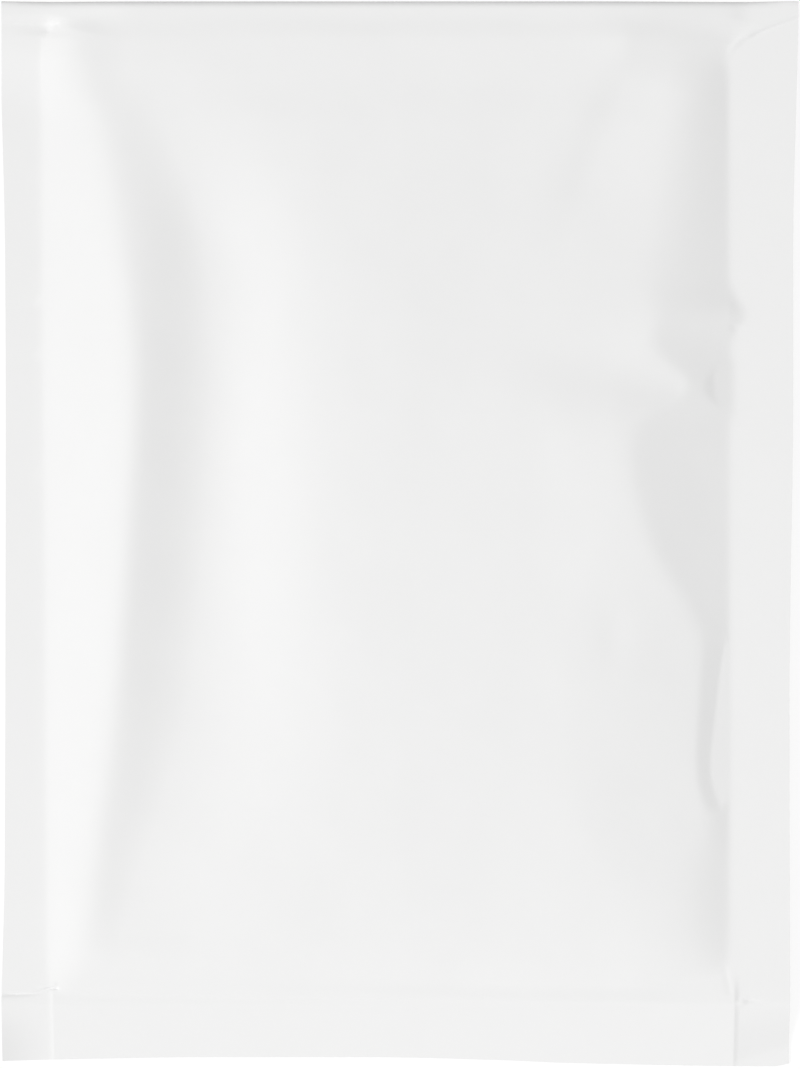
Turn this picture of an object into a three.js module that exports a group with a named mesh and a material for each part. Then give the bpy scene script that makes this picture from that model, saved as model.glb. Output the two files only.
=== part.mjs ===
// Padded mailing envelope, lying on its back with the smooth front up.
// The white paper sheet is folded once at the top: the front runs up over the fold and
// comes down the back as the glued flap. Both sides and the bottom are pressed seams.
// Units are millimetres. +X is the photo's right, +Y runs to the fold, +Z is up.
import * as THREE from 'three';

// Driving dimensions
const WIDTH = 170;            // over the side seams, at the fold
const LENGTH = 227;           // from the bottom seam's edge to the fold
const LEFT_SEAM = 8.8;        // pressed seam on the left
const RIGHT_SEAM = 13.4;      // pressed seam on the right, the wider one
const BOTTOM_SEAM = 13.4;     // pressed seam across the bottom
const SEAM_THICKNESS = 0.55;  // two walls pressed together
const SEAM_HEIGHT = 3.65;     // underside of the side seams above the table
const FRONT_RISE = 4.7;       // highest puff of the front above the seams
const FOLD_REACH = 2.1;       // how far the soft rolled fold rounds out past the panels
const FLAP_LENGTH = 45;       // glued flap on the back, from the fold to its edge
const FLAP_THICKNESS = 0.35;
const FLAP_TAPER = 5;         // the flap's corners are cut back by this much
const MARGIN_DROOP = 0.2;     // slope at which the bottom seam droops to its edge
const CORNER_CURL = 1;        // the lower left corner curls up this far
const PAPER = { color: 0xf1f1f0, roughness: 0.62, metalness: 0 };

// The creases are drawn on a sketch of this size. The sketch is stretched between
// the seams, the edges and the fold when one of the sizes above changes.
const SKETCH = {
  left: -85, leftSeam: -76.2, rightSeam: 71.6, right: 85,
  bottom: -113.7, bottomSeam: -100.3, top: 113.5, rise: 4.65,
};
const halfWidth = WIDTH / 2;
const halfLength = LENGTH / 2;
const foldY = halfLength - FOLD_REACH;
const frontPlane = SEAM_HEIGHT + SEAM_THICKNESS;
const flapEdge = halfLength - FLAP_LENGTH;

// Small helpers for soft shapes
const clamp = (value, low, high) => Math.min(Math.max(value, low), high);
const bell = (distance, width) => Math.exp(-((distance / width) ** 2));
function step(from, to, value) {
  const t = clamp((value - from) / (to - from), 0, 1);
  return t * t * (3 - 2 * t);
}
function softMin(a, b, blend) {
  const low = Math.min(a, b);
  return low - blend * Math.log(Math.exp((low - a) / blend) + Math.exp((low - b) / blend));
}
const softMax = (a, b, blend) => -softMin(-a, -b, blend);
// The same, but truly flat once the two are further apart than the blend.
function flatMax(a, b, blend) {
  const near = Math.max(blend - Math.abs(a - b), 0) / blend;
  return Math.max(a, b) + near * near * blend / 4;
}
// Straight map through pairs of matching places.
function ruler(places, values) {
  return (place) => {
    let i = 1;
    while (i < places.length - 1 && place > places[i]) i += 1;
    const share = (place - places[i - 1]) / (places[i] - places[i - 1]);
    return values[i - 1] + share * (values[i] - values[i - 1]);
  };
}
// Smooth line through [place, value] points that never overshoots them.
function guide(points) {
  const gap = (i) => points[i + 1][0] - points[i][0];
  const slope = (i) => (points[i + 1][1] - points[i][1]) / gap(i);
  const last = points.length - 1;
  const lean = points.map((point, i) => {
    if (i === 0) return slope(0);
    if (i === last) return slope(last - 1);
    const before = slope(i - 1);
    const after = slope(i);
    return before * after > 0 ? 2 * before * after / (before + after) : 0;
  });
  return (place) => {
    const at = clamp(place, points[0][0], points[last][0]);
    let i = 0;
    while (i < last - 1 && at > points[i + 1][0]) i += 1;
    const t = (at - points[i][0]) / gap(i);
    const start = (1 + 2 * t) * (1 - t) ** 2 * points[i][1] + t * (1 - t) ** 2 * gap(i) * lean[i];
    const end = t * t * (3 - 2 * t) * points[i + 1][1] + t * t * (t - 1) * gap(i) * lean[i + 1];
    return start + end;
  };
}
// How far (x, y) lies from a bent line, its share of the way along the line, and its side,
// which is 1 on the right of the way.
function crease(x, y, line) {
  const lengths = line.slice(1).map(([bx, by], i) => Math.hypot(bx - line[i][0], by - line[i][1]));
  const total = lengths.reduce((sum, length) => sum + length, 0);
  let nearest = { off: Infinity, share: 0, side: 0 };
  let before = 0;
  lengths.forEach((length, i) => {
    const [ax, ay] = line[i];
    const [bx, by] = line[i + 1];
    const t = clamp(((x - ax) * (bx - ax) + (y - ay) * (by - ay)) / length ** 2, 0, 1);
    const off = Math.hypot(x - ax - t * (bx - ax), y - ay - t * (by - ay));
    const side = Math.sign((x - ax) * (by - ay) - (y - ay) * (bx - ax));
    if (off < nearest.off) nearest = { off, share: (before + t * length) / total, side };
    before += length;
  });
  return nearest;
}

// Sketch: outline, as x along y and as y along x
const leftEdge = guide([[-99.4, -85], [-67, -84.3], [28, -84.1], [60, -84.25], [92.6, -85]]);
const rightEdge = guide([
  [-113.7, 83.3], [-35, 83.1], [-14, 83.3], [28.6, 83.9], [60.6, 83.9], [101, 84.8], [109, 85],
]);
const bottomEdge = guide([
  [-82.7, -112.2], [-40, -111.6], [-6, -111.6], [20, -112.2], [37, -112.9], [80, -113.7],
  [83.4, -112.9],
]);

// Sketch: foot of the padding along the three seams
const padLeft = guide([
  [-97.3, -73.9], [-67.4, -75.2], [-5.5, -75.6], [39.2, -76.3], [71.2, -76.5], [101.1, -75.8],
  [109.6, -74.6],
]);
const padRight = guide([
  [-99.4, 71.6], [-90.9, 70.3], [92.6, 70.2], [100, 70.5], [103.2, 72.2], [105.8, 75.2],
  [107.9, 80.1], [110.1, 85.4],
]);
const padFoot = guide([
  [-74, -97.4], [-40, -98.3], [0, -99], [30, -100.2], [55, -100.6], [64, -100.2], [72, -99.4],
]);

// Sketch: height of the front's crown, and the long valley left of the middle
const crown = guide([
  [-101, 0.35], [-98, 0.55], [-95, 0.9], [-91, 1.5], [-86.6, 2.05], [-80, 2.55], [-72, 2.9],
  [-60, 3.35], [-39.7, 3.8], [-5.5, 4.3], [11.5, 4.5], [30, 4.65], [45, 4.4], [60, 3.95],
  [71, 3.55], [80, 3.25], [85, 3.1], [88, 3.0], [91, 2.83], [94, 2.65], [97, 2.47], [101, 2.33],
  [105, 2.3], [108, 2.25], [110, 2.15], [111.5, 1.9],
]);
const ridgeX = guide([
  [-96.2, -68], [-79.1, -65.6], [-54.8, -64.7], [-40.3, -62.4], [-23.7, -59], [-1.3, -55.8],
  [17.1, -55.1], [60.4, -55.1], [81.9, -59.4], [99, -63.9], [109.6, -68],
]);
const valleyX = guide([
  [-96.2, -61.5], [-84.5, -59], [-71.7, -55.5], [-54.6, -49.5], [-39.7, -45.5], [-22.6, -43.5],
  [-1.3, -41.5], [41.4, -39.7], [60.6, -41.2], [71, -43.5], [79.8, -47], [90.4, -51.5],
  [101.1, -57],
]);
const valleyDepth = guide([
  [-96.2, 0.1], [-90, 0.3], [-84.5, 0.9], [-71.7, 1.7], [-56.7, 2.4], [-22.6, 3.1], [-1.3, 3.25],
  [20, 3.2], [41.4, 2.9], [60.6, 2.3], [71, 1.7], [79.8, 1.1], [90.4, 0.6], [101.1, 0.1], [105, 0],
]);
const valleyLeft = guide([[-84, 9], [-56, 12], [-1, 13], [41, 12.5], [80, 10]]);
const valleyRight = guide([[-84.5, 26], [-56.7, 26], [-14, 20], [28, 17], [60, 17], [92, 16]]);

// Sketch: the right side, which falls away in flat facets and has caved in twice
const flankX = guide([
  [-94, 50], [-78, 48], [-60, 44], [-40, 40], [-22.6, 38], [-5.5, 41], [11.5, 45], [31, 44],
  [50, 46], [101, 55.6],
]);
const facetX = guide([
  [-99.4, 64], [-67.4, 61], [-52.5, 62.5], [-35, 62.5], [-22.4, 64], [-10.9, 60], [3, 53.5],
  [18.8, 51.5], [28, 56], [31.1, 58.5], [36, 56], [43.5, 54.7], [58.5, 58], [92.6, 60], [109.6, 62],
]);
const facetSlope = guide([
  [-87, 0.22], [-71.7, 0.24], [-60, 0.23], [-25, 0.22], [-10.9, 0.2], [18.8, 0.2], [36, 0.2],
  [50, 0.22], [71.2, 0.25], [92.6, 0.28], [104, 0.25],
]);
const facetRound = guide([[-71.7, 0.4], [-61, 0.16], [-14, 0.13], [42.5, 0.13], [54.2, 0.6]]);
const leftSlope = guide([
  [-98, 0.28], [-92, 0.21], [-84, 0.195], [86, 0.195], [96, 0.23], [105, 0.3],
]);
const foldLevel = guide([
  [-85, 1.1], [-78, 1.2], [-58, 1.9], [40, 1.9], [47, 1.7], [53, 1.2], [74, 0.4], [85, 0.15],
]);
const foldSide = guide([
  [-85, 108], [-76, 108], [-70, 105.5], [58, 105.4], [66, 103], [70.3, 102], [75.4, 106],
  [80, 108.3], [85, 110],
]);
const dentX = guide([[60, 35], [75.5, 40.5], [88, 45], [101, 51]]);
const dentDepth = guide([[60, 0], [68, 0.2], [78, 0.45], [90, 0.5], [98, 0.35], [104, 0]]);
const NOTCH = [[20, 37.5], [59.8, 31.2]];
const PINCH = [
  [73.6, 46.2], [72.2, 43.7], [70.9, 40.2], [67.8, 37.1], [66.2, 35.4], [65.8, 31.6], [66.7, 28.4],
  [68.6, 24.7], [70.6, 22],
];
const WEDGE = [
  [70.4, -17], [69, -21], [68.1, -24.7], [67.7, -32.6], [67.1, -40.5], [66.2, -46.5], [66.2, -52.5],
  [67.5, -58.2], [70.4, -64.5],
];
const SEAM_WRINKLES = [[48.5, 0.22], [37, 0.16], [11.5, 0.14]];

// The upper left corner of the padding pulls the seam beside it up.
function shoulder(x, y) {
  const across = clamp(x + 85, 0, 9) * (1 - step(-76, -58, x));
  return 0.085 * across * step(88, 102, y);
}

// How far the pressed seams stand off their plane: the drooping bottom seam with its curled
// and its hanging corner, the shoulder, and three small wrinkles across the left seam.
function seamLift(x, y) {
  const below = -100.2 - y;
  const margin = 1 - step(-99.2, -98.2, y);
  const arch = step(-75.2, -73.2, x) * (1 - step(71.2, 72.6, x)) * (1 - step(-98.6, -93, y));
  const curl = (Math.max(-74.5 - x, 0) / 10.5) ** 2 * (1.2 - step(-110, -99, y));
  let lift = -MARGIN_DROOP * 0.5 * (below + Math.hypot(below, 0.5));
  lift += (0.1 + 0.0007 * (x + 74)) * arch + CORNER_CURL * curl * margin;
  lift -= 0.09 * Math.max(x - 72.3, 0) * (1 - step(-108, -98.5, y));
  lift += shoulder(x, y);
  for (const [place, depth] of SEAM_WRINKLES) {
    lift -= depth * bell(y - place - 0.29 * (x + 81), 1.2) * step(-75.5, -78.5, x);
  }
  return lift;
}

// Share of the way from the front to the level of the fold.
function toFold(x, y) {
  const start = foldSide(x);
  return step(start, Math.max(start + 1.5, LAST_ROW - 0.3), y);
}

// A caved-in side: the front climbs from foot at this slope, beginning at the line.
function wall(x, y, line, foot, slope) {
  const { off, share, side } = crease(x, y, line);
  const ends = 2 * (1 - step(0, 0.25, share) * step(1, 0.75, share));
  return foot + (side > 0 ? slope * off : 0) + ends;
}

// Height of the front above the seams' upper plane.
function frontHeight(x, y) {
  const fromLeft = x - padLeft(y);
  let fromRight = padRight(y) - x;
  fromRight += 3.3 * bell(y - 46.5, 3) * Math.exp(-Math.max(fromRight, 0) / 4);
  const fromValley = x - valleyX(y);
  const valley = bell(fromValley, fromValley < 0 ? valleyLeft(y) : valleyRight(y));
  const notch = crease(x, y, NOTCH);
  let puff = crown(y) - valleyDepth(y) * valley;
  puff -= 0.0008 * Math.max(-x, 0) ** 1.5 * step(10, 80, y);
  puff -= 0.0105 * Math.max(x - flankX(y), 0) ** 1.5;
  puff -= 0.07 * Math.max(x - 48, 0) * step(94, 104, y);
  puff -= dentDepth(y) * bell(x - dentX(y), 5.5);
  puff -= 2.1 * bell(notch.off, 8.5) * step(0, 1.05, notch.share);
  let height = softMin(puff, leftSlope(y) * fromLeft, 0.26 + 0.2 * (1 - step(-90, -40, y)));
  height = softMin(height, facetSlope(y) * fromRight, facetRound(y));
  height = softMin(height, 0.3 + 0.26 * (y - padFoot(x)), 0.2);
  height = softMin(height, wall(x, y, PINCH, 0.15 * (70.5 - x), 0.42), 0.04);
  height = softMin(height, wall(x, y, WEDGE, 0.13 * (70.5 - x), 0.21), 0.05);
  height *= FRONT_RISE / SKETCH.rise;
  height = softMax(height + shoulder(x, y), seamLift(x, y), 0.1);
  return height + (foldLevel(x) - height) * toFold(x, y);
}

// Depth of the back below the seams' lower plane, before the table flattens it.
function backDepth(x, y) {
  const sides = softMin(0.4 * (x - SKETCH.leftSeam), 0.36 * (SKETCH.rightSeam - x), 0.5);
  const roll = 4 * step(103.5, 110.5, y);
  return softMax(softMin(sides + roll, 0.35 * (y - padFoot(x)), 0.5), 0, 0.1);
}

// Sketch to real size
const realX = ruler(
  [SKETCH.left, SKETCH.leftSeam, SKETCH.rightSeam, SKETCH.right],
  [-halfWidth, LEFT_SEAM - halfWidth, halfWidth - RIGHT_SEAM, halfWidth],
);
const realY = ruler(
  [SKETCH.bottom, SKETCH.bottomSeam, SKETCH.top],
  [-halfLength, BOTTOM_SEAM - halfLength, halfLength],
);
const sketchY = ruler(
  [-halfLength, BOTTOM_SEAM - halfLength, halfLength],
  [SKETCH.bottom, SKETCH.bottomSeam, SKETCH.top],
);

function frontPoint(x, y) {
  return new THREE.Vector3(realX(x), realY(y), frontPlane + frontHeight(x, y));
}
// The flap lies over the back and is cut back at its corners, so the rows near its edge
// bend up towards the sides. The back panel is held off the table beside that edge.
function backPoint(x, y) {
  const edge = sketchY(flapEdge);
  const bent = y + FLAP_TAPER * step(74, 85, Math.abs(x)) * bell(y - edge, 14);
  const overFlap = y > edge ? 1 : 0;
  const held = FLAP_THICKNESS * (overFlap || 1 - step(0, 18, edge - y));
  const seam = seamLift(x, y);
  const lift = seam + (foldLevel(x) - seam) * toFold(x, y);
  const panel = SEAM_HEIGHT + lift - backDepth(x, bent) * (SEAM_HEIGHT / 3.65);
  return new THREE.Vector3(realX(x), realY(bent), flatMax(panel, held, 1) - FLAP_THICKNESS * overFlap);
}

// Rows of the mesh, from the bottom seam to the fold. They are closest where the creases are.
const ROW_STRETCHES = [
  [-113.2, -104, 2], [-104, -94, 5], [-94, -80, 3], [-80, -14, 12], [-14, 22, 7], [22, 50, 11],
  [50, 95, 9], [95, 106, 4],
];
const LAST_ROW = sketchY(foldY);
function rowPlaces() {
  const rows = [];
  for (const [from, to, count] of ROW_STRETCHES) {
    for (let i = 0; i < count; i += 1) rows.push(from + (to - from) * i / count);
  }
  for (let i = 0; i <= 4; i += 1) rows.push(106 + (LAST_ROW - 106) * i / 4);
  const edge = sketchY(flapEdge);
  const clear = rows.filter((row) => Math.abs(row - edge) > 1.2);
  return [...clear, edge - 0.15, edge + 0.15].sort((a, b) => a - b);
}
// The lowest rows follow the bottom edge, which isn't quite straight.
function rowY(row, x) {
  const dip = bottomEdge(x) - ROW_STRETCHES[0][0];
  return row + dip * (1 - step(ROW_STRETCHES[0][0], -100, row));
}

// Columns follow the folds that run the length of the envelope.
const COLUMN_GUIDES = [
  [leftEdge, 2], [padLeft, 4], [ridgeX, 6], [valleyX, 7], [() => 0, 8], [facetX, 6],
  [(y) => Math.min(padRight(y), 82), 3], [rightEdge, 0],
];
function columnX(column, y) {
  let left = column;
  for (let i = 0; i < COLUMN_GUIDES.length - 1; i += 1) {
    const [from, count] = COLUMN_GUIDES[i];
    if (left <= count) {
      const to = COLUMN_GUIDES[i + 1][0];
      return from(y) + (to(y) - from(y)) * left / count;
    }
    left -= count;
  }
  return rightEdge(y);
}
const COLUMNS = COLUMN_GUIDES.reduce((sum, [, count]) => sum + count, 0);

// One closed ring of points: up the front, over the fold and down the back.
const FOLD_STEPS = 7;
function ringPoints(column, rows) {
  const at = (row, point) => {
    const x = columnX(column, row);
    return point(x, rowY(row, x));
  };
  const front = rows.map((row) => at(row, frontPoint));
  const back = [...rows].reverse().map((row) => at(row, backPoint));
  const [top, low] = [front[rows.length - 1], back[0]];
  const fold = [];
  for (let i = 1; i <= FOLD_STEPS; i += 1) {
    const angle = Math.PI * (0.5 - i / (FOLD_STEPS + 1));
    const y = foldY + FOLD_REACH * Math.cos(angle);
    const z = (top.z + low.z) / 2 + (top.z - low.z) / 2 * Math.sin(angle);
    fold.push(new THREE.Vector3(top.x, y, z));
  }
  return [...front, ...fold, ...back];
}

// The rings are joined into one closed skin, and each end ring is closed by a strip
// between its front and its back.
function envelopeGeometry() {
  const rows = rowPlaces();
  const rings = [];
  for (let column = 0; column <= COLUMNS; column += 1) rings.push(ringPoints(column, rows));
  const count = rings[0].length;
  const points = rings.flat();
  const faces = [];
  const addQuad = (a, b, c, d) => {
    const acFirst = points[a].distanceTo(points[c]) <= points[b].distanceTo(points[d]);
    if (acFirst) faces.push(a, b, c, a, c, d);
    else faces.push(a, b, d, b, c, d);
  };
  for (let column = 0; column < COLUMNS; column += 1) {
    for (let i = 0; i < count; i += 1) {
      const j = (i + 1) % count;
      const here = column * count;
      const next = here + count;
      addQuad(here + i, next + i, next + j, here + j);
    }
  }
  const lastRing = COLUMNS * count;
  for (let i = 0; i < count - 1 - i; i += 1) {
    const low = i;
    const high = count - 1 - i;
    if (high - low === 1) break;
    if (high - low === 2) {
      faces.push(low, low + 1, high, lastRing + low, lastRing + high, lastRing + low + 1);
    } else {
      addQuad(low, low + 1, high - 1, high);
      addQuad(lastRing + low, lastRing + high, lastRing + high - 1, lastRing + low + 1);
    }
  }
  const geometry = new THREE.BufferGeometry().setFromPoints(points);
  geometry.setIndex(faces);
  geometry.computeVertexNormals();
  return geometry;
}

const envelope = new THREE.Mesh(envelopeGeometry(), new THREE.MeshStandardMaterial(PAPER));
envelope.name = 'padded_envelope';
const group = new THREE.Group();
group.add(envelope);
export default group;
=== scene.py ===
# %% [markdown]
# A padded envelope of plain white paper
#
# This lesson models a closed padded envelope that lies on its back on a white table. On the
# real object one sheet of paper is folded over at the top, lined with bubbles, and pressed
# together along both sides and the bottom. The puffs, valleys and pinched places between
# those seams are the whole look, so nearly all of the work goes into one soft skin.
#
# The frame comes first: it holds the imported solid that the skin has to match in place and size.

# %% Load the frame
import math

import bmesh
import bpy
import numpy as np
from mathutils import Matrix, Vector


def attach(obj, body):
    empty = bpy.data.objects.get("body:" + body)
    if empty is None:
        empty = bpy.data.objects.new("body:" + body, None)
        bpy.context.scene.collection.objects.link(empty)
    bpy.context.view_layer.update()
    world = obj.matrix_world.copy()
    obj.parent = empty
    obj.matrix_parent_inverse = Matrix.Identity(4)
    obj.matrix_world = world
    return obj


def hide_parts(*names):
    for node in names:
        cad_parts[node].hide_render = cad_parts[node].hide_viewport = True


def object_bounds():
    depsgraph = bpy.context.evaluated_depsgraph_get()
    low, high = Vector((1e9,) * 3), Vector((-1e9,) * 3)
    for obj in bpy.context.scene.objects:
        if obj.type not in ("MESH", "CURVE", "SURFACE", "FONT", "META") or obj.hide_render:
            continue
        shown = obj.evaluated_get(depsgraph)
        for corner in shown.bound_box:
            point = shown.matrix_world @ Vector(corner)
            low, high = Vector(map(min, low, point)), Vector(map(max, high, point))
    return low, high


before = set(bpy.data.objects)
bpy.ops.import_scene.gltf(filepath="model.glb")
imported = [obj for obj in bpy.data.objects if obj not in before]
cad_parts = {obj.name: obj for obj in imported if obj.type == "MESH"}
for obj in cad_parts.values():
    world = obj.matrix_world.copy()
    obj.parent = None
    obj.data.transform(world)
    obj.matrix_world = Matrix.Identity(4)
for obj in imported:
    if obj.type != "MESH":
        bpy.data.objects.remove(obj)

MM = 0.001
cad_low, cad_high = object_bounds()
print("frame box in mm:", [round(v / MM, 2) for v in (*cad_low, *cad_high)])

# %% [markdown]
# The photograph looks straight down from far away, so the camera is a long lens over the
# middle of the envelope. A perspective camera is kept, because it can be moved round the
# object later. The distance follows from the size of the picture at the height of the seams.

# %% Camera
PICTURE = (800, 1069)
OBJECT_PIXELS = 797
SEAM_PLANE = 4.2 * MM
LENS = 135.0
SENSOR = 36.0

pixel = (cad_high.x - cad_low.x) / OBJECT_PIXELS
picture_height = PICTURE[1] * pixel
distance = picture_height * LENS / SENSOR

camera_data = bpy.data.cameras.new("camera")
camera_data.lens = LENS
camera_data.sensor_width = SENSOR
camera_data.clip_start = 0.01
camera = bpy.data.objects.new("camera", camera_data)
camera.location = (0, 0, SEAM_PLANE + distance)
bpy.context.scene.collection.objects.link(camera)
bpy.context.scene.camera = camera
print(f"camera {distance:.3f} m above the seams, {pixel / MM:.4f} mm a pixel")

# %% [markdown]
# White paper on a white table shows its shape only by soft shading. One large lamp stands to
# the left and a little towards the bottom. A weaker one below the picture makes the lower
# half a little lighter, and the rest comes evenly from the sky. Together they light a level
# sheet at strength one, so the paper renders about as it is written. The background could be
# made white by more light, but that would wash out the paper. A Light Path node picks out the
# rays that show the background instead, and only those see a sky of full white.

# %% Light
KEY_AZIMUTH = math.radians(190)
KEY_HEIGHT = math.radians(50)
KEY_SHARE = 0.50
KEY_SOFTNESS = math.radians(22)
FILL_AZIMUTH = math.radians(270)
FILL_HEIGHT = math.radians(55)
FILL_DISTANCE = 0.9
FILL_SHARE = 0.09
FILL_SIZE = 0.5
SKY_SHARE = 0.41


def direction(azimuth, height):
    flat = math.cos(height)
    return Vector((math.cos(azimuth) * flat, math.sin(azimuth) * flat, math.sin(height)))


def add_lamp(name, kind, towards, distance=1.0):
    """A lamp that stands in the direction towards and shines back at the origin."""
    lamp = bpy.data.objects.new(name, bpy.data.lights.new(name, kind))
    lamp.location = towards * distance
    lamp.rotation_euler = towards.to_track_quat("Z", "Y").to_euler()
    bpy.context.scene.collection.objects.link(lamp)
    return lamp


key = add_lamp("key", "SUN", direction(KEY_AZIMUTH, KEY_HEIGHT))
key.data.energy = KEY_SHARE * math.pi / math.sin(KEY_HEIGHT)
key.data.angle = KEY_SOFTNESS
fill = add_lamp("fill", "AREA", direction(FILL_AZIMUTH, FILL_HEIGHT), FILL_DISTANCE)
fill.data.size = FILL_SIZE
fill.data.energy = FILL_SHARE * math.pi**2 * FILL_DISTANCE**2 / math.sin(FILL_HEIGHT)


def background_rays(nodes, links):
    """1 for the rays that show the background, straight, mirrored or through glass, else 0."""
    path = nodes.new("ShaderNodeLightPath")
    mirrored = nodes.new("ShaderNodeMath")
    seen = nodes.new("ShaderNodeMath")
    for node in (mirrored, seen):
        node.operation = "MAXIMUM"
    links.new(path.outputs["Is Glossy Ray"], mirrored.inputs[0])
    links.new(path.outputs["Is Transmission Ray"], mirrored.inputs[1])
    links.new(path.outputs["Is Camera Ray"], seen.inputs[0])
    links.new(mirrored.outputs[0], seen.inputs[1])
    return seen.outputs[0]


def add_sky():
    """An even grey sky that the camera sees as white."""
    world = bpy.data.worlds.new("sky")
    bpy.context.scene.world = world
    world.use_nodes = True
    nodes, links = world.node_tree.nodes, world.node_tree.links
    background = nodes["Background"]
    background.inputs["Color"].default_value = (1, 1, 1, 1)
    strength = nodes.new("ShaderNodeMapRange")
    strength.inputs["To Min"].default_value = SKY_SHARE
    strength.inputs["To Max"].default_value = 1.0
    links.new(background_rays(nodes, links), strength.inputs["Value"])
    links.new(strength.outputs["Result"], background.inputs["Strength"])


add_sky()
bpy.context.scene.view_settings.view_transform = "Standard"
print("light on a level sheet:", round(KEY_SHARE + FILL_SHARE + SKY_SHARE, 3))

# %% [markdown]
# The table is one wide white plane. For the rays that show the background most of its
# brightness is a glow, which lifts it to full white and keeps the soft shadow of the envelope
# faint, as it is on a light table. For all other rays it is plain white card, which throws
# soft light under the seams. From below it can be looked through.

# %% Table
TABLE_WHITE = 0.68
SEEN_WHITE = 0.13
TABLE_GLOW = 0.9
TABLE_SIZE = 6


def table_material():
    material = bpy.data.materials.new("table")
    material.use_nodes = True
    nodes, links = material.node_tree.nodes, material.node_tree.links
    nodes.clear()
    out = nodes.new("ShaderNodeOutputMaterial")
    seen = background_rays(nodes, links)
    white = nodes.new("ShaderNodeMapRange")
    white.inputs["To Min"].default_value = TABLE_WHITE
    white.inputs["To Max"].default_value = SEEN_WHITE
    glow_strength = nodes.new("ShaderNodeMath")
    glow_strength.operation = "MULTIPLY"
    glow_strength.inputs[1].default_value = TABLE_GLOW
    diffuse = nodes.new("ShaderNodeBsdfDiffuse")
    glow = nodes.new("ShaderNodeEmission")
    top = nodes.new("ShaderNodeAddShader")
    clear = nodes.new("ShaderNodeBsdfTransparent")
    side = nodes.new("ShaderNodeNewGeometry")
    either = nodes.new("ShaderNodeMixShader")
    links.new(seen, white.inputs["Value"])
    links.new(seen, glow_strength.inputs[0])
    links.new(white.outputs["Result"], diffuse.inputs["Color"])
    links.new(glow_strength.outputs[0], glow.inputs["Strength"])
    links.new(diffuse.outputs[0], top.inputs[0])
    links.new(glow.outputs[0], top.inputs[1])
    links.new(side.outputs["Backfacing"], either.inputs["Fac"])
    links.new(top.outputs[0], either.inputs[1])
    links.new(clear.outputs[0], either.inputs[2])
    links.new(either.outputs[0], out.inputs["Surface"])
    return material


bpy.ops.object.select_all(action="DESELECT")
bpy.ops.mesh.primitive_plane_add(size=TABLE_SIZE, location=(0, 0, 0))
table = bpy.context.active_object
table.name = "table"
table.data.materials.append(table_material())
print("table laid at height 0")

# %% [markdown]
# The skin is drawn like a map: for each place on the envelope a few soft rules say how high
# the paper stands. The rules need four small tools. A guide is a smooth line through a few
# points, soft_min and soft_max join two heights with a rounded crease, bell is a dent's
# profile, and step is a soft switch. All of them work on whole arrays at once.

# %% Tools for soft shapes


def guide(points):
    """A smooth line through (place, value) points that never overshoots them."""
    at, value = (np.array(column, float) for column in zip(*points))
    slope = np.diff(value) / np.diff(at)
    product = slope[:-1] * slope[1:]
    inner = np.where(product > 0, 2 * product / (slope[:-1] + slope[1:] + 1e-12), 0)
    lean = np.concatenate([slope[:1], inner, slope[-1:]])

    def line(place):
        place = np.clip(place, at[0], at[-1])
        i = np.clip(np.searchsorted(at, place) - 1, 0, len(at) - 2)
        gap = at[i + 1] - at[i]
        t = (place - at[i]) / gap
        start = (1 + 2 * t) * (1 - t) ** 2 * value[i] + t * (1 - t) ** 2 * gap * lean[i]
        end = t * t * (3 - 2 * t) * value[i + 1] + t * t * (t - 1) * gap * lean[i + 1]
        return start + end

    return line


def soft_min(a, b, blend):
    low = np.minimum(a, b)
    return low - blend * np.log(np.exp((low - a) / blend) + np.exp((low - b) / blend))


def soft_max(a, b, blend):
    return -soft_min(-a, -b, blend)


def flat_max(a, b, blend):
    """Like soft_max, but exact once a and b are further apart than the blend."""
    near = np.maximum(blend - np.abs(a - b), 0) / blend
    return np.maximum(a, b) + near * near * blend / 4


def bell(distance, width):
    return np.exp(-((distance / width) ** 2))


def step(start, end, value):
    t = np.clip((value - start) / (end - start), 0, 1)
    return t * t * (3 - 2 * t)


def crease(x, y, points):
    """Distance from a bent line, the share of the way along it, and the side, 1 on its right."""
    points = np.array(points, float)
    lengths = np.hypot(*np.diff(points, axis=0).T)
    before = np.concatenate([[0], np.cumsum(lengths)])
    best = np.full(np.broadcast(x, y).shape, 1e9)
    share = np.zeros(best.shape)
    side = np.zeros(best.shape)
    for (ax, ay), (bx, by), length, start in zip(points, points[1:], lengths, before):
        t = ((x - ax) * (bx - ax) + (y - ay) * (by - ay)) / length**2
        t = np.clip(t, 0, 1)
        off = np.hypot(x - ax - t * (bx - ax), y - ay - t * (by - ay))
        right = (x - ax) * (by - ay) - (y - ay) * (bx - ax)
        nearer = off < best
        best = np.where(nearer, off, best)
        share = np.where(nearer, (start + t * length) / before[-1], share)
        side = np.where(nearer, np.sign(right), side)
    return best, share, side


print("tools ready")

# %% [markdown]
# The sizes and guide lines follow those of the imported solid, in millimetres. The outline
# isn't a plain rectangle: the long sides pull in where the padding lifts them, and the
# bottom edge is cut a little askew. A curve object could draw each line, but a guide through
# a few named places is easier to change. The three inner lines are the foot of the padding.

# %% Sizes and outline
FOLD_TOP = 113.75
FOLD_REACH = 2.1
FOLD_Y = FOLD_TOP - FOLD_REACH
SEAM_HEIGHT = 3.65
SEAM_THICKNESS = 0.55
FRONT_PLANE = SEAM_HEIGHT + SEAM_THICKNESS
FLAP_EDGE = 68.5
FLAP_THICKNESS = 0.35

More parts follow.
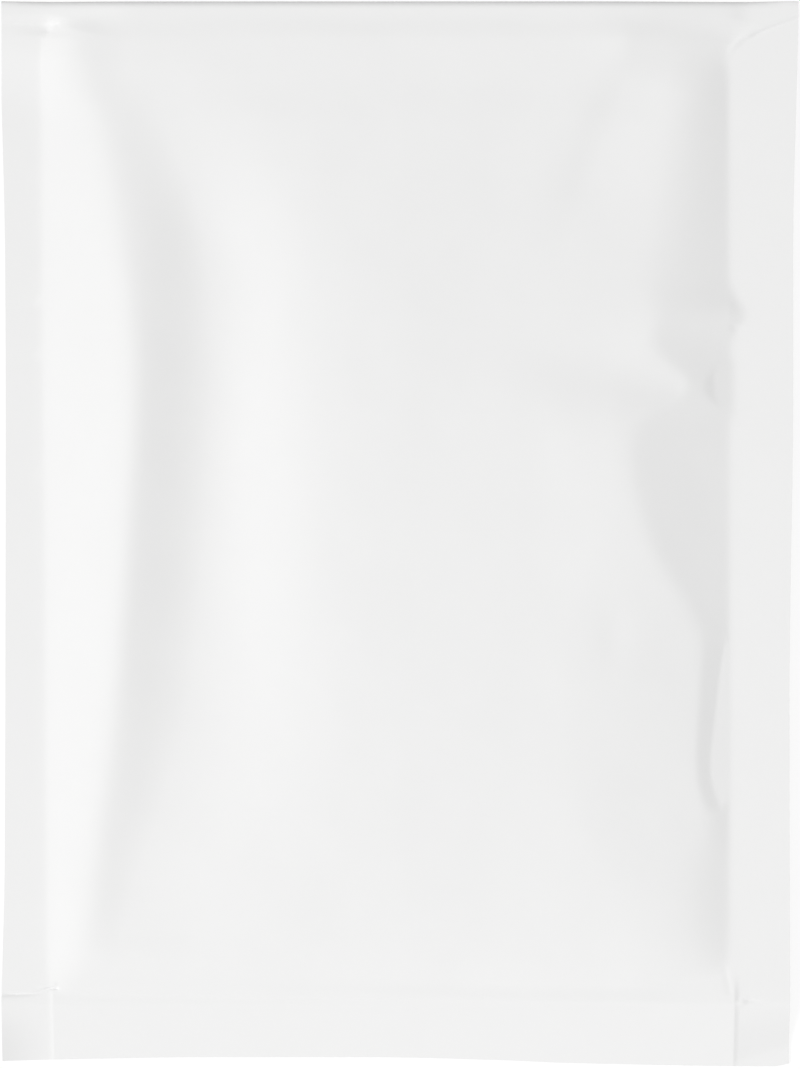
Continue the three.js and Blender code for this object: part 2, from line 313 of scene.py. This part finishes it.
left_edge = guide([(-99.4, -85), (-67, -84.3), (28, -84.1), (60, -84.25), (92.6, -85)])
right_edge = guide([
    (-113.7, 83.3), (-35, 83.1), (-14, 83.3), (28.6, 83.9), (60.6, 83.9), (101, 84.8), (109, 85),
])
bottom_edge = guide([
    (-82.7, -112.6), (-40, -111.9), (-6, -111.9), (20, -112.5), (37, -113.2), (80, -113.9),
    (83.4, -113.3),
])
pad_left = guide([
    (-98, -74.2), (-95, -75.3), (-67.4, -75.5), (-5.5, -75.8), (39.2, -76.3), (71.2, -76.5),
    (101.1, -76.6), (105.5, -76.2), (107.5, -75.2), (109.6, -74.2),
])
pad_right = guide([
    (-99.4, 71.6), (-90.9, 70.3), (92.6, 70.2), (100, 70.5), (103.2, 72.2), (105.8, 75.2),
    (107.9, 80.1), (110.1, 85.4),
])
pad_foot = guide([
    (-74, -97.4), (-40, -98.3), (0, -98.9), (30, -99.6), (55, -99.8), (64, -99.6), (72, -99),
])
print("outline", float(right_edge(113) - left_edge(113)), "mm wide at the fold")

# %% [markdown]
# The front is a low pillow. From the left seam it climbs in one bright facet to a long
# ridge, dips into a valley beside it, and rises to a broad crown. On the right it falls
# away in a flat facet that has caved in at two places, and a shallow notch runs out to the
# right between them. It could be sculpted or simulated as cloth, but then a change of one
# fold would disturb the others. Here each form is one rule with its own numbers.

# %% Guides of the front
crown = guide([
    (-101, 0.35), (-98, 0.55), (-95, 0.9), (-91, 1.5), (-86.6, 2.05), (-80, 2.55), (-72, 2.9),
    (-60, 3.35), (-39.7, 3.8), (-5.5, 4.3), (11.5, 4.5), (30, 4.65), (45, 4.4), (60, 3.95),
    (71, 3.55), (80, 3.25), (85, 3.1), (88, 3.0), (91, 2.83), (94, 2.65), (97, 2.54), (101, 2.5),
    (105, 2.48), (108, 2.42), (110, 2.3), (111.5, 2),
])
ridge_x = guide([
    (-96.2, -68), (-79.1, -65.6), (-54.8, -64.7), (-40.3, -62.4), (-23.7, -59), (-1.3, -55.8),
    (17.1, -55.1), (60.4, -55.1), (81.9, -59.4), (99, -63.9), (109.6, -68),
])
valley_x = guide([
    (-96.2, -61.5), (-84.5, -59), (-71.7, -55.5), (-54.6, -49.5), (-39.7, -45.5), (-22.6, -43.5),
    (-1.3, -41.5), (41.4, -39.7), (60.6, -41.2), (71, -43.5), (79.8, -47), (90.4, -51.5),
    (101.1, -57),
])
valley_depth = guide([
    (-96.2, 0.1), (-90, 0.3), (-84.5, 0.9), (-71.7, 1.7), (-56.7, 2.4), (-22.6, 3.1), (-1.3, 3.25),
    (20, 3.2), (41.4, 2.9), (60.6, 2.3), (71, 1.7), (79.8, 1.1), (90.4, 0.6), (101.1, 0.1),
    (105, 0),
])
valley_left = guide([(-84, 9.5), (-56, 14), (-30, 15), (-1, 14.5), (41, 13.5), (80, 10)])
valley_right = guide([(-84.5, 24), (-56.7, 23.5), (-14, 18), (28, 15.5), (60, 15.5), (92, 15.5)])
flank_x = guide([
    (-94, 50), (-78, 47), (-66, 40), (-56, 37), (-40, 35), (-22.6, 34), (-8, 40), (11.5, 45),
    (31, 45), (45, 53), (75, 55), (101, 58),
])
tilt = guide([
    (-100, 0), (-75, 0.006), (-60, 0.01), (-14, 0.011), (0, 0.005), (25, 0.006), (42, 0.016),
    (75, 0.015), (95, 0.006), (105, 0),
])
facet_x = guide([
    (-99.4, 64), (-67.4, 61), (-52.5, 62.5), (-35, 62.5), (-22.4, 64), (-10.9, 60), (3, 53.5),
    (18.8, 51.5), (28, 56), (31.1, 58.5), (36, 56), (43.5, 54.7), (58.5, 58), (92.6, 60),
    (109.6, 62),
])
facet_slope = guide([
    (-87, 0.22), (-71.7, 0.24), (-60, 0.27), (-25, 0.27), (-10.9, 0.23), (18.8, 0.2), (36, 0.2),
    (50, 0.22), (71.2, 0.25), (92.6, 0.28), (104, 0.25),
])
left_slope = guide([(-98, 0.28), (-92, 0.21), (-84, 0.195), (86, 0.195), (96, 0.23), (105, 0.3)])
fold_level = guide([
    (-85, 0.6), (-78, 0.75), (-66, 1.4), (-56, 1.9), (30, 2.05), (40, 2.1), (50, 1.85), (60, 1.3),
    (66, 0.95), (70, 0.7), (74.5, 0.3), (85, 0.25),
])
fold_side = guide([
    (-85, 108.8), (-76, 108.9), (-68, 106.8), (-60, 105.5), (58, 105.4), (70, 105.2), (74, 105.6),
    (76, 106.6), (80, 108.3), (85, 110),
])
fold_reach = guide([
    (-85, 2.3), (-75, 2.4), (-60, 5.8), (58, 5.8), (70, 5.6), (74, 4), (77, 1.8), (80, 1.5),
    (85, 1.3),
])
facet_round = guide([(-71.7, 0.4), (-61, 0.16), (-14, 0.13), (42.5, 0.13), (54.2, 0.6)])
dent_x = guide([(60, 35), (75.5, 40.5), (88, 45), (101, 51)])
dent_depth = guide([(60, 0), (68, 0.2), (78, 0.45), (90, 0.5), (98, 0.35), (104, 0)])
NOTCH = [(20, 37.5), (58.3, 31)]
PINCH = [
    (73.7, 46.6), (72.2, 43.2), (70.4, 40), (68.6, 37.9), (67.2, 36), (66.8, 33), (67, 29.8),
    (68.3, 26.6), (70.4, 22.8),
]
WEDGE = [
    (70.4, -18.3), (69.4, -22.4), (68.5, -27.1), (67.9, -31.8), (67.3, -37.8), (66.5, -43.9),
    (66.1, -47.4), (66.2, -52), (67.1, -55.4), (68.8, -58.9), (70.4, -62.3),
]
CORNER_CREASES = [
    ([(-84.5, -98.1), (-78.4, -98), (-77.1, -97.7), (-75.8, -97.2), (-74.5, -96.8), (-73.2, -96.8)],
     0.26, 0.28),
    ([(-76.3, -96.6), (-73.7, -95.9)], -0.08, 0.45), ([(-75.3, 107.4), (-73.3, 108.8)], 0.12, 0.4),
    ([(69.4, -93), (70.3, -97.6)], 0.05, 0.7), ([(72.5, -100.1), (73.1, -99.8)], -0.15, 0.7),
    ([(73.9, -99.5), (76.2, -99.6)], 0.1, 0.3),
    ([(75, 107.3), (73, 105.9), (70.8, 103.8)], -0.12, 0.65),
    ([(84.8, 110.2), (79, 108.2), (75.4, 106.5)], 0.14, 0.35),
]
WALLS = [(PINCH, 71.2, 0.21, 0.12, 0.04), (WEDGE, 70.5, 0.13, 0.17, 0.05)]
SOFT_DENTS = [
    (45.5, -23, 6, 3.2, 0.14), (50, -31, 2.6, 9, -0.09), (30, 14, 16, 6, 0.1),
    (21, 74, 9, 9, 0.1), (-62, 92, 8, 4, 0.06), (36, -62, 14, 7, -0.06),
]
print("front stands", round(float(crown(33)), 2), "mm over the seams")

# %% [markdown]
# The seams aren't level either. At the top they rise to the rolled fold, and at the bottom
# the pressed margin droops until it nearly meets the table. The lower left corner curls up,
# the lower right one hangs, and small wrinkles cross the left seam. One flat ribbon could
# stand for each seam, but then every bend would need a cut where two ribbons meet.

# %% Height of the seams
LEFT_SIDE = -85
SHOULDER_WIDTH = 9
SHOULDER_SLOPE = 0.085
MARGIN_Y = -100.2
MARGIN_DROOP = 0.27
MARGIN_BEND = 0.5
ARCH_LEFT = -74
ARCH_HEIGHT = 0.1
ARCH_RISE = 0.0007
CURL_X = -74.5
CORNER_CURL = 0.009
HANG_X = 72.3
CORNER_HANG = 0.09
LOWEST = 0.15
SEAM_ROUND = 0.1
SEAM_WRINKLES = [(48.5, 0.14), (37, 0.1), (11.5, 0.1)]
WRINKLE_X = -81
WRINKLE_TURN = 0.29
WRINKLE_WIDTH = 1.2


def shoulder(x, y):
    """The upper left corner of the padding pulls the seam beside it up."""
    across = np.clip(x - LEFT_SIDE, 0, SHOULDER_WIDTH) * (1 - step(-76, -58, x))
    release = 0.6 * step(101, 110, y)
    release = release + (1 - release) * step(106, 108.8, y) * (1 - step(-76.2, -73.6, x))
    return SHOULDER_SLOPE * across * step(88, 102, y) * (1 - release)


def seam_lift(x, y):
    """How far the seams stand above or below their own level."""
    below = MARGIN_Y - y
    lift = -MARGIN_DROOP * 0.5 * (below + np.hypot(below, MARGIN_BEND))
    arch = step(-74.9, -73.9, x) * (1 - step(71.2, 72.4, x)) * (1 - step(-98.6, -93, y))
    lift = lift + (ARCH_HEIGHT + ARCH_RISE * (x - ARCH_LEFT)) * arch
    margin = 1 - step(-99.2, -98.2, y)
    curled, hung = np.maximum(CURL_X - x, 0), np.maximum(x - HANG_X, 0)
    lift = lift + CORNER_CURL * curled**2 * margin * (1.2 - step(-110, -99, y))
    lift = lift - CORNER_HANG * hung * (1 - step(-108, -98.5, y))
    lift = soft_max(lift + shoulder(x, y), LOWEST - SEAM_HEIGHT, SEAM_ROUND)
    for place, depth in SEAM_WRINKLES:
        wrinkle = bell(y - place - WRINKLE_TURN * (x - WRINKLE_X), WRINKLE_WIDTH)
        lift = lift - depth * wrinkle * step(-75.5, -78.5, x)
    return lift


middle_droop = float(seam_lift(np.array(0.0), np.array(-112.0)))
print("bottom margin droops by", round(-middle_droop, 2), "mm at its edge")

# %% [markdown]
# Now the guides become a surface. The pillow comes first, as if it went on past its edges.
# The crown says how high it stands on each row, and everything else is taken away from it:
# the valley, the falling right flank, the soft dents, the furrow over the bottom seam and the
# notch. Sculpting could press the same hollows in, but they couldn't be measured or undone.

# %% Height of the pillow
LEFT_FALL = 0.0008
FLANK_FALL = 0.0105
FALL_POWER = 1.5
CORNER_X = 48
CORNER_FALL = 0.08
DENT_WIDTHS = (5.5, 12)
FOOT_FURROW = (3, 2.4)
NOTCH_DEPTH = 1.15
NOTCH_WIDTH = 7.5


def puff_height(x, y):
    """The pillow itself, as if it went on past its edges."""
    from_valley = x - valley_x(y)
    width = np.where(from_valley < 0, valley_left(y), valley_right(y))
    puff = crown(y) - valley_depth(y) * bell(from_valley, width)
    puff = puff - LEFT_FALL * np.maximum(-x, 0) ** FALL_POWER * step(10, 80, y)
    flank = np.maximum(x - flank_x(y), 0)
    puff = puff - FLANK_FALL * flank**FALL_POWER - tilt(y) * np.maximum(x, 0)
    puff = puff - CORNER_FALL * np.maximum(x - CORNER_X, 0) * step(94, 104, y)
    from_dent = x - dent_x(y)
    puff = puff - dent_depth(y) * bell(from_dent, np.where(from_dent < 0, *DENT_WIDTHS))
    for place_x, place_y, long, wide, depth in SOFT_DENTS:
        puff = puff - depth * bell(x - place_x, wide) * bell(y - place_y, long)
    place, wide = FOOT_FURROW
    furrow = bell(y - pad_foot(x) - place, wide)
    puff = puff - (0.08 + 0.3 * step(-60, 30, x)) * furrow
    off, share, _ = crease(x, y, NOTCH)
    return puff - NOTCH_DEPTH * bell(off, NOTCH_WIDTH) * step(0, 1.05, share)


print("pillow", round(float(puff_height(np.array(30.0), np.array(30.0))), 2), "mm at its crown")

# %% [markdown]
# Then the pillow is cut down to its edges. soft_min lets the lower of two forms win, as paper
# that is pulled taut does: the facet at each side, the foot of the padding and the two
# caved-in walls. The seams hold the front up from below, fine creases mark the corners, and a
# slight waviness keeps it from looking like plastic. At the top everything bends to the level
# of the fold. A Boolean would cut as well, but it leaves sharp edges where paper has soft ones.

# %% Height of the front
SIDE_BULGE = 3.2
SIDE_BULGE_Y = 46.8
SIDE_BULGE_LENGTH = 4.2
SIDE_BULGE_FADE = 14
NOTCH_BULGE = 2.6
NOTCH_BULGE_Y = 31.5
NOTCH_BULGE_LENGTH = 5
RIDGE_ROUND = 0.33
RIDGE_ROUND_LOW = 0.2
RIDGE_ROUND_HIGH = 0.17
FOOT_HEIGHT = 0.3
FOOT_SLOPE = 0.26
FOOT_SLOPE_BELOW = 0.4
FOOT_ROUND = 0.15
COCKLE = [(34, 0.3, 0.03), (23, 1.5, 0.016), (17, 2.4, 0.01), (11, 0.9, 0.005), (7, 2.0, 0.003)]
SEAM_COCKLE = 0.25
WAVE_SWING = 1.4
WAVE_TURNS = 3.7
WALL_ENDS = 0.12


def to_fold(x, y):
    """Share of the way from the front to the level of the fold."""
    t = np.clip((y - fold_side(x)) / fold_reach(x), 0, 1)
    slow, quick = t * t * (3 - 2 * t), t * (2 - t)
    return slow + (quick - slow) * step(70, 77, np.abs(x))


def cockle(x, y):
    """The slight waviness of stretched paper, as a few bent waves."""
    height = np.zeros(np.broadcast(x, y).shape)
    for i, (length, turn, rise) in enumerate(COCKLE):
        along = x * math.cos(turn) + y * math.sin(turn)
        across = y * math.cos(turn) - x * math.sin(turn)
        bend = WAVE_SWING * np.sin(across * WAVE_TURNS / length + 2 * i)
        height = height + rise * np.sin(along * 2 * math.pi / length + bend + i)
    return height


def wall(x, y, line, foot, slope):
    """A caved-in side: the front climbs from foot at this slope, beginning at the line."""
    off, share, side = crease(x, y, line)
    ends = 2 * (1 - step(0, WALL_ENDS, share) * step(1, 1 - WALL_ENDS, share))
    return foot + slope * off * (side > 0) + ends


def front_height(x, y):
    """Height of the front above the upper plane of the seams."""
    from_left = x - pad_left(y)
    from_right = pad_right(y) - x
    fade = np.exp(-np.maximum(from_right, 0) / SIDE_BULGE_FADE)
    from_right = from_right + SIDE_BULGE * bell(y - SIDE_BULGE_Y, SIDE_BULGE_LENGTH) * fade
    from_right = from_right + NOTCH_BULGE * bell(y - NOTCH_BULGE_Y, NOTCH_BULGE_LENGTH)
    blend = RIDGE_ROUND + RIDGE_ROUND_LOW * (1 - step(-80, 0, y))
    blend = blend + RIDGE_ROUND_HIGH * step(78, 98, y)
    height = soft_min(puff_height(x, y), left_slope(y) * from_left, blend)
    height = soft_min(height, facet_slope(y) * from_right, facet_round(y))
    above_foot = y - pad_foot(x)
    foot_slope = np.where(above_foot < 0, FOOT_SLOPE_BELOW, FOOT_SLOPE)
    height = soft_min(height, FOOT_HEIGHT + foot_slope * above_foot, FOOT_ROUND)
    for line, foot_x, foot_rise, slope, sharp in WALLS:
        height = soft_min(height, wall(x, y, line, foot_rise * (foot_x - x), slope), sharp)
    height = soft_max(height + shoulder(x, y), seam_lift(x, y), SEAM_ROUND)
    for line, depth, width in CORNER_CREASES:
        height = height - depth * bell(crease(x, y, line)[0], width)
    inside = step(0, 9, np.minimum(from_left, from_right)) * step(-101, -92, y)
    height = height + cockle(x, y) * (SEAM_COCKLE + (1 - SEAM_COCKLE) * inside)
    return height + (fold_level(x) - height) * to_fold(x, y)


print("height in the middle:", round(float(front_height(np.array(0.0), np.array(0.0))), 2), "mm")

# %% [markdown]
# The back bulges down the same way, and the table presses it flat. The flap comes down over
# it from the fold, a thickness of paper proud of the back, with its corners cut back. It is
# glued down, so it is drawn as one step in the same sheet and not as a loose sheet over it.

# %% Height of the back
FLAP_TAPER = 5.0
FLAP_BEND = 14
BACK_LEFT = -76.2
BACK_RIGHT = 71.6
BACK_SLOPE_LEFT = 0.4
BACK_SLOPE_RIGHT = 0.36
BACK_SLOPE_FOOT = 0.35
BACK_SLOPE_TOP = 4
BACK_ROUND = 0.5
FLAP_EASE = 18


def back_bend(x, y):
    """The rows of the back bend towards the fold near the flap's corners."""
    return y + FLAP_TAPER * step(74, 85, np.abs(x)) * bell(y - FLAP_EDGE, FLAP_BEND)


def back_height(x, y):
    """Height of the back above the table, with the flap as the lowest layer of paper."""
    bent = back_bend(x, y)
    from_left, from_right = x - BACK_LEFT, BACK_RIGHT - x
    sides = soft_min(BACK_SLOPE_LEFT * from_left, BACK_SLOPE_RIGHT * from_right, BACK_ROUND)
    sides = sides + BACK_SLOPE_TOP * step(103.5, 110.5, bent)
    from_foot = BACK_SLOPE_FOOT * (bent - pad_foot(x))
    depth = soft_max(soft_min(sides, from_foot, BACK_ROUND), 0, SEAM_ROUND)
    over_flap = np.where(y > FLAP_EDGE, 1.0, 0.0)
    held = FLAP_THICKNESS * np.maximum(over_flap, 1 - step(0, FLAP_EASE, FLAP_EDGE - y))
    lift = seam_lift(x, y)
    lift = lift + (fold_level(x) - lift) * to_fold(x, y)
    panel = flat_max(SEAM_HEIGHT + lift - depth, held, 1)
    return panel - FLAP_THICKNESS * over_flap


print("back rests at", round(float(back_height(np.array(0.0), np.array(0.0))), 3), "mm")

# %% [markdown]
# The real envelope is made from one flat sheet, and so is this one. A grid is added with
# bpy.ops and wrapped round: its rows run up the front, round the fold and down the back, and
# its columns follow the folds that run the length of the envelope, so that a crease always
# lies along an edge. The rows and columns crowd together where the paper turns sharply.

# %% Rows and columns of the sheet
COLUMN_SPANS = [
    (left_edge, 12, "end"), (pad_left, 26, "start"), (ridge_x, 24, "even"),
    (valley_x, 34, "even"), (lambda y: 0 * y, 44, "even"), (facet_x, 22, "end"),
    (lambda y: np.minimum(pad_right(y), 82), 18, "start"),
]
BOTTOM_ROW = -113.2
LAST_BENT_ROW = -104
FOOT_ROW = -99.5
FOOT_BEND = 4.5
ROW_SPANS = [
    (BOTTOM_ROW, FOOT_ROW, 30, "end"), (FOOT_ROW, -96, 26, "even"), (-96, -88, 16, "even"),
    (-88, -60, 28, "even"), (-60, 20, 80, "even"), (20, 50, 75, "even"), (50, 86, 40, "even"),
    (86, 104, 24, "even"), (104, FOLD_Y, 32, "even"),
]
FOLD_STEPS = 40
ROUNDNESS = 0.75
BACK_SKIP = 3
CROWDING = 1.5
FLAP_STEP = 0.08
FLAP_CLEAR = 0.5


def shares(count, crowd):
    t = np.arange(count) / count
    if crowd == "start":
        return t**CROWDING
    if crowd == "end":
        return 1 - (1 - t) ** CROWDING
    return t


def row_places():
    rows = np.concatenate([a + (b - a) * shares(count, crowd) for a, b, count, crowd in ROW_SPANS])
    clear = rows[np.abs(rows - FLAP_EDGE) > FLAP_CLEAR]
    extra = [FLAP_EDGE - FLAP_STEP, FLAP_EDGE + FLAP_STEP, FOLD_Y]
    return np.sort(np.concatenate([clear, extra]))


def back_places():
    """Every third row is enough for the plain back, but the flap's edge keeps both of its own."""
    at_flap = np.flatnonzero(np.abs(rows - FLAP_EDGE) < FLAP_CLEAR)
    every_third = np.arange(0, len(rows), BACK_SKIP)
    return np.unique(np.concatenate([every_third, at_flap, [len(rows) - 1]]))


def column_places(rows):
    """x of every column, for every row: an array of columns by rows."""
    columns = []
    for i, (start, count, crowd) in enumerate(COLUMN_SPANS):
        end = COLUMN_SPANS[i + 1][0] if i + 1 < len(COLUMN_SPANS) else right_edge
        for share in shares(count, crowd):
            columns.append(start(rows) + (end(rows) - start(rows)) * share)
    columns.append(right_edge(rows))
    return np.array(columns)


def row_bend(x, y):
    """The lowest rows follow the cut bottom edge, and the next ones the seam's line."""
    along_edge = (bottom_edge(x) - BOTTOM_ROW) * (1 - step(BOTTOM_ROW, LAST_BENT_ROW, y))
    along_foot = (pad_foot(x) - FOOT_ROW) * bell(y - FOOT_ROW, FOOT_BEND)
    return y + along_edge + along_foot


rows = row_places()
back_rows = back_places()
columns = column_places(rows)
print(f"{len(columns)} columns, {len(rows)} rows in front and {len(back_rows)} at the back")

# %% [markdown]
# Each point of the grid now gets its place. The front and the back use the rules above, and
# the fold between them is an arc a little squarer than an ellipse, because the paper is
# pressed there. A modifier could bend a flat grid too, but it would stretch the paper.

# %% Place the sheet


def sheet_points():
    """Places of all points in mm: front rows, then the fold, then the back rows."""
    y = np.broadcast_to(rows, columns.shape)
    front_y = row_bend(columns, y)
    front = np.stack([columns, front_y, FRONT_PLANE + front_height(columns, front_y)], -1)
    back_x, back_y = columns[:, back_rows], front_y[:, back_rows]
    back = np.stack([back_x, back_bend(back_x, back_y), back_height(back_x, back_y)], -1)
    turn = np.linspace(math.pi / 2, -math.pi / 2, FOLD_STEPS + 2)[1:-1]
    top, bottom = front[:, -1:], back[:, -1:]
    fold_x = np.repeat(top[..., 0], len(turn), axis=1)
    fold_y = FOLD_Y + FOLD_REACH * np.cos(turn) ** ROUNDNESS + 0 * fold_x
    middle, half = (top[..., 2] + bottom[..., 2]) / 2, (top[..., 2] - bottom[..., 2]) / 2
    rise = np.sign(turn) * np.abs(np.sin(turn)) ** ROUNDNESS
    fold = np.stack([fold_x, fold_y, middle + half * rise], -1)
    return np.concatenate([front, fold, back[:, ::-1]], axis=1)


points = sheet_points()
bpy.ops.object.select_all(action="DESELECT")
bpy.ops.mesh.primitive_grid_add(
    x_subdivisions=points.shape[0] - 1, y_subdivisions=points.shape[1] - 1, size=1,
    calc_uvs=True,
)
envelope = bpy.context.active_object
envelope.name = "padded_envelope_paper"
flat = points.transpose(1, 0, 2).reshape(-1, 3) * MM
assert len(flat) == len(envelope.data.vertices)
envelope.data.vertices.foreach_set("co", flat.astype(np.float32).ravel())
envelope.data.update()
print("sheet wrapped:", len(envelope.data.vertices), "points")

# %% [markdown]
# The wrapped sheet is still open at the bottom and at both sides. There the front and the
# back are pressed together, and the cut shows two plies with a hairline between them. The
# rolled fold isn't pressed, so its ends stay open and the hairline widens to a mouth there.
# Solidify would give every place the same thickness, so the rim is bridged point by point,
# and the skin becomes one closed shell whose faces all point outwards.

# %% Close the seams
ACROSS = points.shape[0]
WRAP = points.shape[1]
FRONT = len(rows)
PLY = 0.2
MOUTH_PLY = 0.1
THICKEST_PLY = 0.72
GROOVE_DEPTH = 0.12
MOUTH_DEPTH = 3.5
MOUTH_Y = (105.5, 109)
TIP = 3
MERGE_DISTANCE = 0.003


def close_edge(shell, pairs, inward, mouth):
    """Joins the front and back points along one open edge by a grooved rim."""
    before = None
    for (front, back), direction, open_share in zip(pairs, inward, mouth):
        top, low = front[-1].co, back.co
        core = (top + low) / 2
        core.y = min(core.y, FOLD_Y * MM)
        ply_share = (PLY + MOUTH_PLY * open_share) * MM / (top - core).length
        thickness = min(THICKEST_PLY, ply_share)
        ply, under = (core - top) * thickness, (core - low) * thickness
        depth = direction * (GROOVE_DEPTH + MOUTH_DEPTH * open_share) * MM
        places = [top + ply, top + ply + depth, low + under + depth, low + under]
        rim = [shell.verts.new(place) for place in places]
        if before:
            last_back, last_rim = before
            faces = [[*front, rim[0], last_rim[0]]]
            for i in range(3):
                faces.append([last_rim[i], rim[i], rim[i + 1], last_rim[i + 1]])
            faces.append([last_rim[3], rim[3], back, last_back])
            for corners in faces:
                shell.faces.new(corners).smooth = True
        before = (back, rim)
    return before[1]


def close_seams(mesh):
    """Closes both sides and the bottom of the wrapped sheet."""
    shell = bmesh.new()
    shell.from_mesh(mesh)
    shell.verts.ensure_lookup_table()

    def at(column, row):
        return shell.verts[row * ACROSS + column]

    half = FOLD_STEPS // 2
    for column, inward in ((0, Vector((1, 0, 0))), (ACROSS - 1, Vector((-1, 0, 0)))):
        pairs, mouth = [], []
        for i, row in enumerate(back_rows):
            start = back_rows[max(i - 1, 0)]
            front = [at(column, r) for r in range(start, row + 1)]
            pairs.append((front, at(column, WRAP - 1 - i)))
            mouth.append(float(step(*MOUTH_Y, rows[row])))
        for i in range(half - TIP + 1):
            front = [at(column, FRONT - 1 + i), at(column, FRONT + i)]
            pairs.append((front, at(column, FRONT + FOLD_STEPS - 1 - i)))
            mouth.append(1.0)
        corner = inward + Vector((0, 1, 0))
        rim = close_edge(shell, pairs, [corner] + [inward] * (len(pairs) - 1), mouth)
        shell.verts.ensure_lookup_table()
        tip = [at(column, FRONT + half + r) for r in range(-TIP, TIP)]
        shell.faces.new([*tip, *reversed(rim)])
    pairs, inward = [], []
    for column in range(ACROSS):
        pairs.append(([at(max(column - 1, 0), 0), at(column, 0)], at(column, WRAP - 1)))
        to_middle = (column == 0) - (column == ACROSS - 1)
        inward.append(Vector((to_middle, 1, 0)))
    close_edge(shell, pairs, inward, [0.0] * len(pairs))
    bmesh.ops.remove_doubles(shell, verts=shell.verts[:], dist=MERGE_DISTANCE * MM)
    bmesh.ops.recalc_face_normals(shell, faces=shell.faces[:])
    open_edges = [edge for edge in shell.edges if not edge.is_manifold]
    print("open edges:", len(open_edges))
    shell.to_mesh(mesh)
    shell.free()


close_seams(envelope.data)
print("closed skin with", len(envelope.data.polygons), "faces")

# %% [markdown]
# The paper is smooth and bleached: nearly white, with a faint satin surface. Its fibres
# show close up as a fine uneven bump, and from further off as very faint clouds. A picture
# of paper would repeat, so both come from noise in the envelope's own coordinates. The
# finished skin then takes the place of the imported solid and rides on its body.

# %% Paper
PAPER_WHITE = (0.857, 0.857, 0.855, 1)
PAPER_CLOUD = (0.847, 0.847, 0.846, 1)
PAPER_ROUGHNESS = 0.62
PAPER_IOR = 1.45
CLOUD_SCALE = 180
FIBRE_SCALE = 2200
FIBRE_STRENGTH = 0.25
FIBRE_HEIGHT = 0.05
SMOOTH_ANGLE = 50


def paper_material():
    material = bpy.data.materials.new("white_paper")
    material.use_nodes = True
    nodes, links = material.node_tree.nodes, material.node_tree.links
    paper = nodes["Principled BSDF"]
    paper.inputs["Roughness"].default_value = PAPER_ROUGHNESS
    paper.inputs["IOR"].default_value = PAPER_IOR
    place = nodes.new("ShaderNodeTexCoord")
    clouds = nodes.new("ShaderNodeTexNoise")
    clouds.inputs["Scale"].default_value = CLOUD_SCALE
    clouds.inputs["Detail"].default_value = 5
    colour = nodes.new("ShaderNodeMix")
    colour.data_type = "RGBA"
    colour.inputs["A"].default_value = PAPER_WHITE
    colour.inputs["B"].default_value = PAPER_CLOUD
    fibres = nodes.new("ShaderNodeTexNoise")
    fibres.inputs["Scale"].default_value = FIBRE_SCALE
    fibres.inputs["Detail"].default_value = 4
    bump = nodes.new("ShaderNodeBump")
    bump.inputs["Strength"].default_value = FIBRE_STRENGTH
    bump.inputs["Distance"].default_value = FIBRE_HEIGHT * MM
    links.new(place.outputs["Object"], clouds.inputs["Vector"])
    links.new(place.outputs["Object"], fibres.inputs["Vector"])
    links.new(clouds.outputs["Fac"], colour.inputs["Factor"])
    links.new(colour.outputs["Result"], paper.inputs["Base Color"])
    links.new(fibres.outputs["Fac"], bump.inputs["Height"])
    links.new(bump.outputs["Normal"], paper.inputs["Normal"])
    return material


envelope.data.materials.append(paper_material())
bpy.ops.object.select_all(action="DESELECT")
envelope.select_set(True)
bpy.context.view_layer.objects.active = envelope
bpy.ops.object.shade_smooth_by_angle(angle=math.radians(SMOOTH_ANGLE))
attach(envelope, "root")
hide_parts("padded_envelope")
print("paper laid on", envelope.name)
